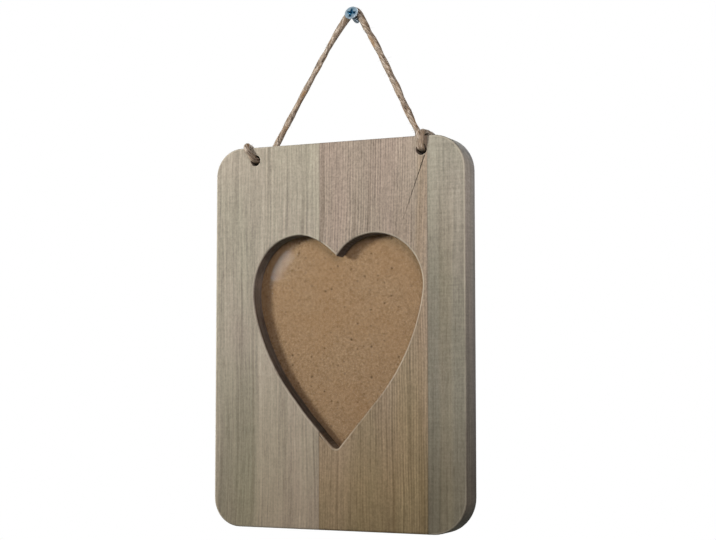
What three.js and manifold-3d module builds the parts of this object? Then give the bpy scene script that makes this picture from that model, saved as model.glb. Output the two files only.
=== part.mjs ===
// A wooden picture frame with a heart-shaped opening, hung by jute twine from a wall screw.
// Millimetres, +Z up, front towards -Y. The origin is where the screw's axis meets the wall.
import * as THREE from "three";
import { mergeVertices } from "three/addons/utils/BufferGeometryUtils.js";
import Module from "manifold-3d";

// Board
const FRAME_WIDTH = 150;
const FRAME_HEIGHT = 210;
const BOARD_THICKNESS = 15;
const LEFT_CORNER_RADIUS = 15.5;
const RIGHT_CORNER_RADIUS = 19;
const ARRIS = 1.2; // rounding of the board's outer edges
const GLUE_LINE = 0.1;

// Where the board hangs
const WALL_GAP = 11; // from the wall to the board's back
const HANG_DROP = 73; // from the screw down to the board's top edge

// Heart opening, its heights measured from the middle of the board
const HEART_LOBE_RADIUS = 28.2;
const HEART_LOBE_OFFSET = 22.3; // from the centre line to a lobe's centre
const HEART_LOBE_HEIGHT = 25.8;
const HEART_SIDE_RADIUS = 111.4;
const HEART_SIDE_START = 8.6; // degrees below the widest point
const HEART_SIDE_END = 41; // degrees, where the side turns straight
const HEART_TIP_RADIUS = 2.5;
const HEART_CHAMFER = 1.2;

// Seams between the staves
const LEFT_SEAM = 10; // left of the heart's middle
const RIGHT_SEAM_MARGIN = 3; // right of the heart's widest point

// Rebate with the glass and the backing board, from the lip to the back
const SIDE_RIM = 10; // wood left beside the rebate
const END_RIM = 15; // wood left above and below the rebate
const SEAT_GAP = 0.3;
const GLASS_THICKNESS = 2;
const PHOTO_GAP = 0.4;
const BACKING_THICKNESS = 3;
const BACKING_INSET = 0.3; // from the backing board to the board's back
const PANE_CLEARANCE = 0.5;

// Twine holes
const HOLE_DIAMETER = 6;
const HOLE_SPACING = 100;
const HOLE_DROP = 7.5; // from the top edge to the hole's centre

// Turn buttons and their screws
const BUTTON_SPACING = 50;
const BUTTON_WIDTH = 9;
const BUTTON_THICKNESS = 1;
const BUTTON_OVERLAP = 7.5; // reach over the backing board
const RUNNING_GAP = 0.3;
const BUTTON_SCREW_SHANK = 2.9;
const BUTTON_SCREW_LENGTH = 10;
const BUTTON_SCREW_TIP = 2.5;
const BUTTON_SCREW_HEAD = 6;
const BUTTON_SCREW_HEAD_HEIGHT = 1.7;

// Wall screw
const SCREW_TILT = 20; // degrees, head up
const SCREW_STANDOFF = 7.5; // from the wall to the head's face, along the axis
const SCREW_LENGTH = 11;
const SCREW_HEAD = 8;
const SCREW_HEAD_RIM = 0.6;
const SCREW_SHANK = 3.6;
const SCREW_TIP = 2.5;

// Cross recesses
const RECESS_SPAN = 0.6; // share of the head's diameter
const RECESS_WIDTH = 1;
const RECESS_DEPTH = 1.1;

// Twine
const TWINE_DIAMETER = 3.5;
const TWINE_SIDES = 8;
const KNOT_WIDTH = 9;
const KNOT_HEIGHT = 7.5;
const KNOT_DEPTH = 7;

// Fineness of the round faces
const ARC_SEGMENTS = 12;
const ROUND_SEGMENTS = 24;
const ARRIS_SEGMENTS = 2;

// Places that follow from the sizes above
const FRONT_Y = -WALL_GAP - BOARD_THICKNESS;
const CENTRE_Z = -HANG_DROP - FRAME_HEIGHT / 2;
const REBATE_WIDTH = FRAME_WIDTH - 2 * SIDE_RIM;
const REBATE_HEIGHT = FRAME_HEIGHT - 2 * END_RIM;
const REBATE_DEPTH = SEAT_GAP + GLASS_THICKNESS + PHOTO_GAP + BACKING_THICKNESS + BACKING_INSET;
const LIP_THICKNESS = BOARD_THICKNESS - REBATE_DEPTH;
const PIVOT_Z = (FRAME_HEIGHT - END_RIM) / 2;
const BUTTON_Y = BOARD_THICKNESS + RUNNING_GAP;
const BUTTON_SCREW_Y = BUTTON_Y + BUTTON_THICKNESS + RUNNING_GAP;
const OVERCUT = 1; // how far a cut runs past a face

const wasm = await Module();
wasm.setup();

// The closed solid inside a geometry.
function solidOf(geometry) {
  const bare = geometry.clone();
  bare.deleteAttribute("normal");
  bare.deleteAttribute("uv");
  const merged = mergeVertices(bare, 1e-4);
  return new wasm.Manifold(
    new wasm.Mesh({
      numProp: 3,
      vertProperties: new Float32Array(merged.attributes.position.array),
      triVerts: new Uint32Array(merged.index.array),
    }),
  );
}

function geometryOf(solid) {
  const mesh = solid.getMesh();
  const geometry = new THREE.BufferGeometry();
  geometry.setAttribute("position", new THREE.BufferAttribute(mesh.vertProperties, 3));
  geometry.setIndex(new THREE.BufferAttribute(mesh.triVerts, 1));
  geometry.computeVertexNormals();
  return geometry;
}

// A shape drawn in X and Z, from a front plane to a back plane, with rounded outer edges if asked for.
function plate(shape, frontY, backY, rounding = 0) {
  const geometry = new THREE.ExtrudeGeometry(shape, {
    depth: backY - frontY - 2 * rounding,
    curveSegments: ARC_SEGMENTS,
    bevelEnabled: rounding > 0,
    bevelThickness: rounding,
    bevelSize: rounding,
    bevelOffset: -rounding,
    bevelSegments: ARRIS_SEGMENTS,
  });
  return geometry.rotateX(Math.PI / 2).translate(0, backY - rounding, 0);
}

function block(lowX, highX, frontY, backY, lowZ, highZ) {
  const geometry = new THREE.BoxGeometry(highX - lowX, backY - frontY, highZ - lowZ);
  return geometry.translate((lowX + highX) / 2, (frontY + backY) / 2, (lowZ + highZ) / 2);
}

// A round bar along Y.
function bar(diameter, x, z, frontY, backY) {
  const radius = diameter / 2;
  const geometry = new THREE.CylinderGeometry(radius, radius, backY - frontY, ROUND_SEGMENTS);
  return geometry.translate(x, (frontY + backY) / 2, z);
}

// A solid whose section changes from ring to ring along Y. Every ring has as many points.
function loft(rings) {
  const count = rings[0].points.length;
  const positions = rings.flatMap(({ y, points }) => points.flatMap((p) => [p.x, y, p.y]));
  const cap = THREE.ShapeUtils.triangulateShape(rings[0].points, []);
  const last = (rings.length - 1) * count;
  const faces = cap.map(([a, b, c]) => [a, b, c]);
  cap.forEach(([a, b, c]) => faces.push([last + a, last + c, last + b]));
  for (let ring = 0; ring < last; ring += count) {
    for (let i = 0; i < count; i++) {
      const a = ring + i;
      const b = ring + ((i + 1) % count);
      faces.push([a, a + count, b], [b, a + count, b + count]);
    }
  }
  const geometry = new THREE.BufferGeometry();
  geometry.setAttribute("position", new THREE.Float32BufferAttribute(positions, 3));
  return geometry.setIndex(faces.flat());
}

// A rectangle whose corners are rounded to one radius on the left and another on the right
function roundedRectangle(width, height, left, right) {
  const leftX = left - width / 2;
  const leftZ = height / 2 - left;
  const rightX = width / 2 - right;
  const rightZ = height / 2 - right;
  const quarter = Math.PI / 2;
  const shape = new THREE.Shape();
  shape.absarc(rightX, rightZ, right, 0, quarter);
  shape.absarc(leftX, leftZ, left, quarter, 2 * quarter);
  shape.absarc(leftX, -leftZ, left, 2 * quarter, 3 * quarter);
  shape.absarc(rightX, -rightZ, right, 3 * quarter, 4 * quarter);
  return shape;
}

// The heart, grown outwards by an offset: two lobes, two long sides and a rounded tip, all arcs.
function heartOutline(grow) {
  const lobe = HEART_LOBE_RADIUS + grow;
  const side = HEART_SIDE_RADIUS + grow;
  const tip = HEART_TIP_RADIUS + grow;
  const start = THREE.MathUtils.degToRad(HEART_SIDE_START);
  const end = THREE.MathUtils.degToRad(HEART_SIDE_END);
  const cleft = Math.acos(HEART_LOBE_OFFSET / lobe);
  const sideX = HEART_LOBE_OFFSET - (side - lobe) * Math.cos(start);
  const sideZ = HEART_LOBE_HEIGHT + (side - lobe) * Math.sin(start);
  const endX = sideX + side * Math.cos(end);
  const endZ = sideZ - side * Math.sin(end);
  const tipZ = endZ + (tip - endX * Math.cos(end)) / Math.sin(end);
  const shape = new THREE.Shape();
  shape.absarc(HEART_LOBE_OFFSET, HEART_LOBE_HEIGHT, lobe, Math.PI - cleft, -start, true);
  shape.absarc(sideX, sideZ, side, -start, -end, true);
  shape.absarc(0, tipZ, tip, -end, end - Math.PI, true);
  shape.absarc(-sideX, sideZ, side, end - Math.PI, start - Math.PI, true);
  shape.absarc(-HEART_LOBE_OFFSET, HEART_LOBE_HEIGHT, lobe, Math.PI + start, cleft, true);
  const points = shape.getPoints(ARC_SEGMENTS).reverse();
  return points.filter((p, i) => p.distanceTo(points.at(i - 1)) > 1e-6);
}

// The cutter of the heart: straight walls, flared at the front for the chamfer.
function heartCutter() {
  return loft([
    { y: -OVERCUT, points: heartOutline(HEART_CHAMFER + OVERCUT) },
    { y: HEART_CHAMFER, points: heartOutline(0) },
    { y: BOARD_THICKNESS + OVERCUT, points: heartOutline(0) },
  ]);
}

// Two crossed slots in a screw head whose face is at faceY and looks along direction.
function crossRecess(headDiameter, faceY, direction) {
  const half = (RECESS_SPAN * headDiameter) / 2;
  const slot = RECESS_WIDTH / 2;
  const deep = faceY - direction * RECESS_DEPTH;
  const proud = faceY + direction * OVERCUT;
  const front = Math.min(deep, proud);
  const back = Math.max(deep, proud);
  const across = solidOf(block(-half, half, front, back, -slot, slot));
  return across.add(solidOf(block(-slot, slot, front, back, -half, half)));
}

function turned(profile) {
  const points = profile.map(([radius, y]) => new THREE.Vector2(radius, y));
  return solidOf(new THREE.LatheGeometry(points, ROUND_SEGMENTS));
}

// A length of twine along points, with its ends cut square.
function twine(points, steps) {
  const section = new THREE.Shape();
  for (let i = 0; i < TWINE_SIDES; i++) {
    const angle = (2 * Math.PI * i) / TWINE_SIDES;
    const x = (TWINE_DIAMETER / 2) * Math.cos(angle);
    const y = (TWINE_DIAMETER / 2) * Math.sin(angle);
    if (i === 0) section.moveTo(x, y);
    else section.lineTo(x, y);
  }
  const path = new THREE.CatmullRomCurve3(points.map((p) => new THREE.Vector3(...p)));
  return solidOf(new THREE.ExtrudeGeometry(section, { steps, extrudePath: path, bevelEnabled: false }));
}

// A pulled-tight knot, as the lump that it fills.
function knot(x, y, z) {
  const lump = new THREE.SphereGeometry(0.5, TWINE_SIDES * 2, TWINE_SIDES);
  lump.scale(KNOT_WIDTH, KNOT_DEPTH, KNOT_HEIGHT);
  return solidOf(lump.translate(x, y, z));
}

function paint(color, roughness, metalness = 0) {
  return new THREE.MeshStandardMaterial({ color, roughness, metalness });
}

const greyedPine = paint(0x9c9585, 0.75);
const pinkishPine = paint(0x9f9080, 0.75);
const greenishPine = paint(0x98937f, 0.75);
const clearGlass = paint(0xdfe8e6, 0.05);
const hardboard = paint(0x9f8261, 0.85);
const zincSteel = paint(0xa9b4bb, 0.35, 1);
const jute = paint(0x94795a, 0.95);

function addPiece(parent, name, geometry, material) {
  const mesh = new THREE.Mesh(geometry, material);
  mesh.name = name;
  parent.add(mesh);
  return mesh;
}

const part = new THREE.Group();
const frame = new THREE.Group();
frame.position.set(0, FRONT_Y, CENTRE_Z);
part.add(frame);

// Where each turn button turns, and which way it points: down at the top, up at the bottom
const pivots = [];
for (const end of [1, -1]) {
  for (const side of [-1, 1]) {
    pivots.push({ x: (side * BUTTON_SPACING) / 2, z: end * PIVOT_Z, turn: end > 0 ? 0 : Math.PI });
  }
}

// The glued board with every cut in it
const outline = roundedRectangle(FRAME_WIDTH, FRAME_HEIGHT, LEFT_CORNER_RADIUS, RIGHT_CORNER_RADIUS);
let board = solidOf(plate(outline, 0, BOARD_THICKNESS, ARRIS));
const backCut = BOARD_THICKNESS + OVERCUT;
const rebateX = REBATE_WIDTH / 2;
const rebateZ = REBATE_HEIGHT / 2;
board = board.subtract(solidOf(block(-rebateX, rebateX, LIP_THICKNESS, backCut, -rebateZ, rebateZ)));
board = board.subtract(solidOf(heartCutter()));
const holeZ = FRAME_HEIGHT / 2 - HOLE_DROP;
for (const side of [-1, 1]) {
  const holeX = (side * HOLE_SPACING) / 2;
  board = board.subtract(solidOf(bar(HOLE_DIAMETER, holeX, holeZ, -OVERCUT, backCut)));
}
const pilotDiameter = BUTTON_SCREW_SHANK + 2 * RUNNING_GAP;
const pilotEnd = BUTTON_SCREW_Y - BUTTON_SCREW_LENGTH - RUNNING_GAP;
for (const { x, z } of pivots) {
  board = board.subtract(solidOf(bar(pilotDiameter, x, z, pilotEnd, backCut)));
}

// Its three staves, glued edge to edge
const leftSeam = -LEFT_SEAM;
const rightSeam = HEART_LOBE_OFFSET + HEART_LOBE_RADIUS + RIGHT_SEAM_MARGIN;
const staves = [
  { name: "stave_left", from: -FRAME_WIDTH / 2 - OVERCUT, to: leftSeam, material: greyedPine },
  { name: "stave_middle", from: leftSeam, to: rightSeam, material: pinkishPine },
  { name: "stave_right", from: rightSeam, to: FRAME_WIDTH / 2 + OVERCUT, material: greenishPine },
];
for (const { name, from, to, material } of staves) {
  const lowX = from + GLUE_LINE / 2;
  const highX = to - GLUE_LINE / 2;
  const reachZ = FRAME_HEIGHT / 2 + OVERCUT;
  const slice = solidOf(block(lowX, highX, -OVERCUT, backCut, -reachZ, reachZ));
  addPiece(frame, name, geometryOf(board.intersect(slice)), material);
}

// Glass and backing board, loose in the rebate
const paneX = rebateX - PANE_CLEARANCE;
const paneZ = rebateZ - PANE_CLEARANCE;
const glassFront = LIP_THICKNESS + SEAT_GAP;
const glassBack = glassFront + GLASS_THICKNESS;
const backingFront = glassBack + PHOTO_GAP;
const backingBack = backingFront + BACKING_THICKNESS;
addPiece(frame, "glazing_pane", block(-paneX, paneX, glassFront, glassBack, -paneZ, paneZ), clearGlass);
addPiece(frame, "backing_board", block(-paneX, paneX, backingFront, backingBack, -paneZ, paneZ), hardboard);

// A turn button, its pivot at the origin, pointing down
function turnButton() {
  const radius = BUTTON_WIDTH / 2;
  const farCentre = END_RIM / 2 + BUTTON_OVERLAP - radius;
  const shape = new THREE.Shape();
  shape.absarc(0, 0, radius, 0, Math.PI);
  shape.absarc(0, -farCentre, radius, Math.PI, 2 * Math.PI);
  const hole = new THREE.Path();
  hole.absarc(0, 0, pilotDiameter / 2, 0, 2 * Math.PI);
  shape.holes.push(hole);
  return plate(shape, 0, BUTTON_THICKNESS);
}

// A button's screw, with the underside of its head at the origin
function buttonScrew() {
  const shank = BUTTON_SCREW_SHANK / 2;
  const head = BUTTON_SCREW_HEAD / 2;
  const screw = turned([
    [0, -BUTTON_SCREW_LENGTH],
    [shank, BUTTON_SCREW_TIP - BUTTON_SCREW_LENGTH],
    [shank, 0],
    [head, 0],
    [head, BUTTON_SCREW_HEAD_HEIGHT / 2],
    [head - BUTTON_SCREW_HEAD_HEIGHT / 2, BUTTON_SCREW_HEAD_HEIGHT],
    [0, BUTTON_SCREW_HEAD_HEIGHT],
  ]);
  return geometryOf(screw.subtract(crossRecess(BUTTON_SCREW_HEAD, BUTTON_SCREW_HEAD_HEIGHT, 1)));
}

pivots.forEach(({ x, z, turn }, i) => {
  const button = addPiece(frame, `turn_button_${i + 1}`, turnButton(), zincSteel);
  button.position.set(x, BUTTON_Y, z);
  button.rotation.y = turn;
  const screw = addPiece(frame, `button_screw_${i + 1}`, buttonScrew(), zincSteel);
  screw.position.set(x, BUTTON_SCREW_Y, z);
});

// The wall screw, countersunk, with the wall at its origin and its tip towards +Y
function wallScrew() {
  const shank = SCREW_SHANK / 2;
  const head = SCREW_HEAD / 2;
  const face = -SCREW_STANDOFF;
  const tip = face + SCREW_LENGTH;
  const screw = turned([
    [0, face],
    [head, face],
    [head, face + SCREW_HEAD_RIM],
    [shank, face + SCREW_HEAD_RIM + head - shank],
    [shank, tip - SCREW_TIP],
    [0, tip],
  ]);
  return geometryOf(screw.subtract(crossRecess(SCREW_HEAD, face, -1)));
}

const hangingScrew = addPiece(part, "hanging_screw", wallScrew(), zincSteel);
hangingScrew.rotation.x = THREE.MathUtils.degToRad(-SCREW_TILT);

// A point near a twine hole, tied to the board's sizes: x in mm from the hole, y in board thicknesses
// from the board's middle plane, z in hole drops above the hole.
function nearHole(side, [x, y, z]) {
  const middleY = FRONT_Y + BOARD_THICKNESS / 2;
  return [
    (side * HOLE_SPACING) / 2 + x,
    middleY + y * BOARD_THICKNESS,
    CENTRE_Z + holeZ + z * HOLE_DROP,
  ];
}

// Points at even steps between two places, each moved sideways by its bow
function leg(from, to, bows) {
  const start = new THREE.Vector3(...from);
  const end = new THREE.Vector3(...to);
  return bows.map((bow, i) => {
    const point = start.clone().lerp(end, (i + 1) / (bows.length + 1));
    return [point.x + bow, point.y, point.z];
  });
}

// The free run: up from the left hitch, over the screw and down to the right hitch
const LEFT_BOWS = [-0.25, -0.4, -0.3, -0.25];
const RIGHT_BOWS = [0.5, 0.4, 0.3, -0.1];
const overScrew = [
  [-9, -3.3, -4.9],
  [-4.7, -2.3, 1.5],
  [-2.9, -2, 4.05],
  [0, -1.9, 5.15],
  [2.9, -2.1, 4],
  [4.6, -2.5, 1.2],
  [9.1, -5.4, -7.4],
];
const leftEnd = nearHole(-1, [3.9, 0.67, 1.51]);
const rightEnd = nearHole(1, [-4, -0.37, 1.64]);
const runRoute = [
  leftEnd,
  ...leg(leftEnd, overScrew[0], LEFT_BOWS),
  ...overScrew,
  ...leg(overScrew.at(-1), rightEnd, RIGHT_BOWS),
  rightEnd,
];

// Left hitch: down behind the board, forwards through the hole, up and over the top edge to the knot
const leftHitchRoute = [
  [3.7, 0.67, 1.45],
  [1.8, 0.67, 0.97],
  [0.2, 0.68, 0.48],
  [0, 0.61, 0.12],
  [0, 0.43, 0],
  [0, 0, 0],
  [0, -0.43, 0],
  [-0.1, -0.59, 0.13],
  [-0.9, -0.65, 0.47],
  [-2.9, -0.65, 0.87],
  [-4.7, -0.57, 1.16],
  [-5.8, -0.42, 1.27],
  [-8, -0.03, 1.27],
  [-10.2, 0.39, 1.27],
  [-10.6, 0.6, 1.12],
  [-9, 0.72, 0.78],
  [-5.5, 0.76, 0.6],
  [-3, 0.76, 0.5],
].map((point) => nearHole(-1, point));
const leftTailRoute = [
  [-0.4, 0.78, 0.47],
  [2.6, 0.79, 0],
  [3.8, 0.73, -0.67],
  [3.4, 0.66, -1.47],
].map((point) => nearHole(-1, point));
const leftKnot = nearHole(-1, [-0.8, 0.75, 0.49]);

// Right hitch: in front of the board into the hole, up behind, back over the top edge and through again
const rightHitchRoute = [
  [-3.7, -0.38, 1.58],
  [-2.6, -0.42, 1.37],
  [-1.7, -0.59, 1.21],
  [-1.4, -0.65, 0.87],
  [-1.2, -0.64, 0.44],
  [-0.9, -0.57, 0.09],
  [-0.9, -0.4, 0],
  [-0.9, 0, 0],
  [-0.9, 0.4, 0],
  [-0.8, 0.59, 0.12],
  [-0.6, 0.68, 0.47],
  [-0.5, 0.69, 0.87],
  [-0.4, 0.62, 1.17],
  [-0.2, 0.43, 1.32],
  [0.2, 0.1, 1.32],
].map((point) => nearHole(1, point));
const rightReturnRoute = [
  [0.1, 0.17, 1.32],
  [1, -0.27, 1.32],
  [1.5, -0.54, 1.27],
  [1.8, -0.65, 0.95],
  [1.6, -0.64, 0.49],
  [0.9, -0.57, 0.08],
  [0.9, -0.4, 0],
  [0.9, 0, 0],
  [0.9, 0.4, 0],
  [1.3, 0.66, -0.15],
  [2.3, 0.78, -0.53],
  [3.5, 0.73, -1.2],
  [3.9, 0.66, -1.93],
].map((point) => nearHole(1, point));
const rightKnot = nearHole(1, [1.6, 0.77, -0.25]);

const RUN_STEPS = 36;
const HITCH_STEPS = 24;
const TAIL_STEPS = 8;
addPiece(part, "hanging_twine", geometryOf(twine(runRoute, RUN_STEPS)), jute);
const leftHitch = twine(leftHitchRoute, HITCH_STEPS)
  .add(knot(...leftKnot))
  .add(twine(leftTailRoute, TAIL_STEPS));
addPiece(part, "left_hitch", geometryOf(leftHitch), jute);
const rightHitch = twine(rightHitchRoute, HITCH_STEPS)
  .add(twine(rightReturnRoute, HITCH_STEPS))
  .add(knot(...rightKnot));
addPiece(part, "right_hitch", geometryOf(rightHitch), jute);

export default part;
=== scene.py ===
import math
import random

import bmesh
import bpy
from mathutils import Matrix, Vector, noise


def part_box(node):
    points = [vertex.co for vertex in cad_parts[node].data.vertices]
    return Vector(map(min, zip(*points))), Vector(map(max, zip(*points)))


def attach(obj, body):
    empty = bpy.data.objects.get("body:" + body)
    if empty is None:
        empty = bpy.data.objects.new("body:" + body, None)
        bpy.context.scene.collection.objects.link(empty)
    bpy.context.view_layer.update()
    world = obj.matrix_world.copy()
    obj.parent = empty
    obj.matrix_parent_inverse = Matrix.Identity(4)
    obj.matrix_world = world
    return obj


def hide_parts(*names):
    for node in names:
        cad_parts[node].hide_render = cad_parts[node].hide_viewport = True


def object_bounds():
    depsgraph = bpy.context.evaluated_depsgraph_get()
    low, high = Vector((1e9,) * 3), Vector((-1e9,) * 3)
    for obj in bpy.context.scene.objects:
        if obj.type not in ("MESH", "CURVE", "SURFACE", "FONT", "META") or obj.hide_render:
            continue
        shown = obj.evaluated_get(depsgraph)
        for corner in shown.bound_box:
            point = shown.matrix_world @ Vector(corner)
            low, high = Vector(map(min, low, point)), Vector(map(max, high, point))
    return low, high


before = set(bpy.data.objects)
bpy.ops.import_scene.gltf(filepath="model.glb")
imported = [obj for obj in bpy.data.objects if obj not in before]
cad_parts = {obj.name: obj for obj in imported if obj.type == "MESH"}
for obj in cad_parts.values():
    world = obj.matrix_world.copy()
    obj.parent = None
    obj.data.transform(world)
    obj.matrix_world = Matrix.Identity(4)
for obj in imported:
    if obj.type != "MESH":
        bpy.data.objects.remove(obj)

CAD_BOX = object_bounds()
MM = 0.001
TO_MM = (1000, 1000, 1000)  # scale from metres

# The board, in millimetres, as in the solids apart from its finer glue lines and rounded hole edges
WIDTH = 150
HEIGHT = 210
THICKNESS = 15
LEFT_CORNER_RADIUS = 15.5
RIGHT_CORNER_RADIUS = 19
ARRIS = 1.2
FRONT_Y = -26
CENTRE_Z = -178
LIP = 9
REBATE_WIDTH = 130
REBATE_HEIGHT = 180
SEAMS = (-10, 53.5)
GLUE_LINE = 0.03
HOLE_X = 50
HOLE_Z = 97.5
HOLE_RADIUS = 3
HOLE_ROUNDING = 0.4
OVERCUT = 1  # how far a cut runs past a face

# The heart, its heights from the board's middle
LOBE_RADIUS = 28.2
LOBE_OFFSET = 22.3
LOBE_HEIGHT = 25.8
SIDE_RADIUS = 111.4
SIDE_START = math.radians(8.6)
SIDE_END = math.radians(41)
TIP_RADIUS = 2.5
HEART_ROUNDING = 1.2

# Its left flank is cut further out from FLANK_TOP down, and most of all round HUMP_Z
FLANK_TOP = 30
FLANK_BLEND = 18
FLANK_OUT = 1.15
HUMP_Z = -43.5
HUMP_REACH = 6
HUMP_OUT = 0.6
TIP_BLEND = 6  # from the middle line to where the flank is cut out in full

# How far up its upper edge is cut from the even shape, at each x
TOP_SHIFT = ((-50, 0), (-38, 0.74), (-24, 0.64), (-3.5, -1.2), (0, -0.7), (6, 0))

# Points along curves
CORNER_STEPS = 12
LOBE_STEPS = 40
SIDE_STEPS = 20
TIP_STEPS = 8
HOLE_STEPS = 32
EDGE_STEPS = 4
HOLE_EDGE_STEPS = 3
BUTTON_STEPS = 16

# Wear, painted highlight, painted shade and grain of the staves
RUB_AND_HIGHLIGHT_BAND = 0.5  # width of the front face along its edges that is rubbed and given painted highlight
RUB_AND_HIGHLIGHT_DEPTH = 0.8  # how far back the rub and painted highlight go
HEART_RUB_AND_HIGHLIGHT = 0.8  # share of the rub and painted highlight round the heart
HEART_HALF_WIDTH = LOBE_OFFSET + LOBE_RADIUS + 2
HEART_HALF_HEIGHT = 60
OVERHANG_START = 12  # above the board's middle, where the painted shade begins to fade at the back of the wall
OVERHANG_BLEND = 24
OVERHANG_FADE = 0.75
SWAY = 7.0  # how far the grain wanders at most


def on_board(x, y, z):
    """A point in metres, given in millimetres from the middle of the board's front face, y backwards."""
    return Vector((x, FRONT_Y + y, CENTRE_Z + z)) * MM


def in_metres(points):
    """Points given in millimetres, in metres."""
    return [Vector(point) * MM for point in points]


def srgb(red, green, blue):
    """A colour as linear light, from the 0 to 255 steps that a screen uses."""
    return [((c / 255 + 0.055) / 1.055) ** 2.4 for c in (red, green, blue)] + [1.0]


def clamp(share):
    return min(1.0, max(0.0, share))


def ease(share):
    """A share from 0 to 1 with soft ends."""
    return share * share * (3 - 2 * share)


def hump(place, middle, reach):
    """1 at the middle, falling off softly to both sides."""
    return math.exp(-(((place - middle) / reach) ** 2))


# Materials


class Material:
    """A node material built in short steps around its Principled shader."""

    def __init__(self, name):
        self.material = bpy.data.materials.new(name)
        self.material.use_nodes = True
        self.tree = self.material.node_tree
        self.shader = self.tree.nodes["Principled BSDF"]
        self.place = self.node("TexCoord")

    def node(self, kind, inputs=None, **settings):
        made = self.tree.nodes.new("ShaderNode" + kind)
        for key, value in settings.items():
            setattr(made, key, value)
        for key, value in (inputs or {}).items():
            self.feed(made.inputs[key], value)
        return made

    def feed(self, socket, value):
        if isinstance(value, bpy.types.NodeSocket):
            self.tree.links.new(value, socket)
        else:
            socket.default_value = value

    def set(self, **values):
        for name, value in values.items():
            self.feed(self.shader.inputs[name.replace("_", " ")], value)

    def math(self, operation, a, b=0.0):
        return self.node("Math", {0: a, 1: b}, operation=operation).outputs[0]

    def span(self, value, low, high, start=0.0, end=1.0):
        """value's stretch from low to high as start to end, held beyond both."""
        inputs = {"Value": value, "From Min": low, "From Max": high, "To Min": start, "To Max": end}
        return self.node("MapRange", inputs).outputs["Result"]

    def mix(self, factor, a, b, blend="MIX"):
        made = self.node("Mix", {0: factor, 6: a, 7: b}, data_type="RGBA", blend_type=blend)
        return made.outputs[2]

    def stretch(self, vector, scale, location=(0, 0, 0)):
        return self.node("Mapping", {"Vector": vector, "Scale": scale, "Location": location}).outputs[0]

    def noise(self, vector, scale, detail=2.0, roughness=0.5):
        inputs = {"Scale": 1.0, "Detail": detail, "Roughness": roughness}
        inputs["Vector"] = self.stretch(vector, scale)
        return self.node("TexNoise", inputs).outputs["Fac"]

    def bump(self, height, strength, distance):
        inputs = {"Height": height, "Strength": strength, "Distance": distance * MM}
        self.set(Normal=self.node("Bump", inputs).outputs["Normal"])


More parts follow.
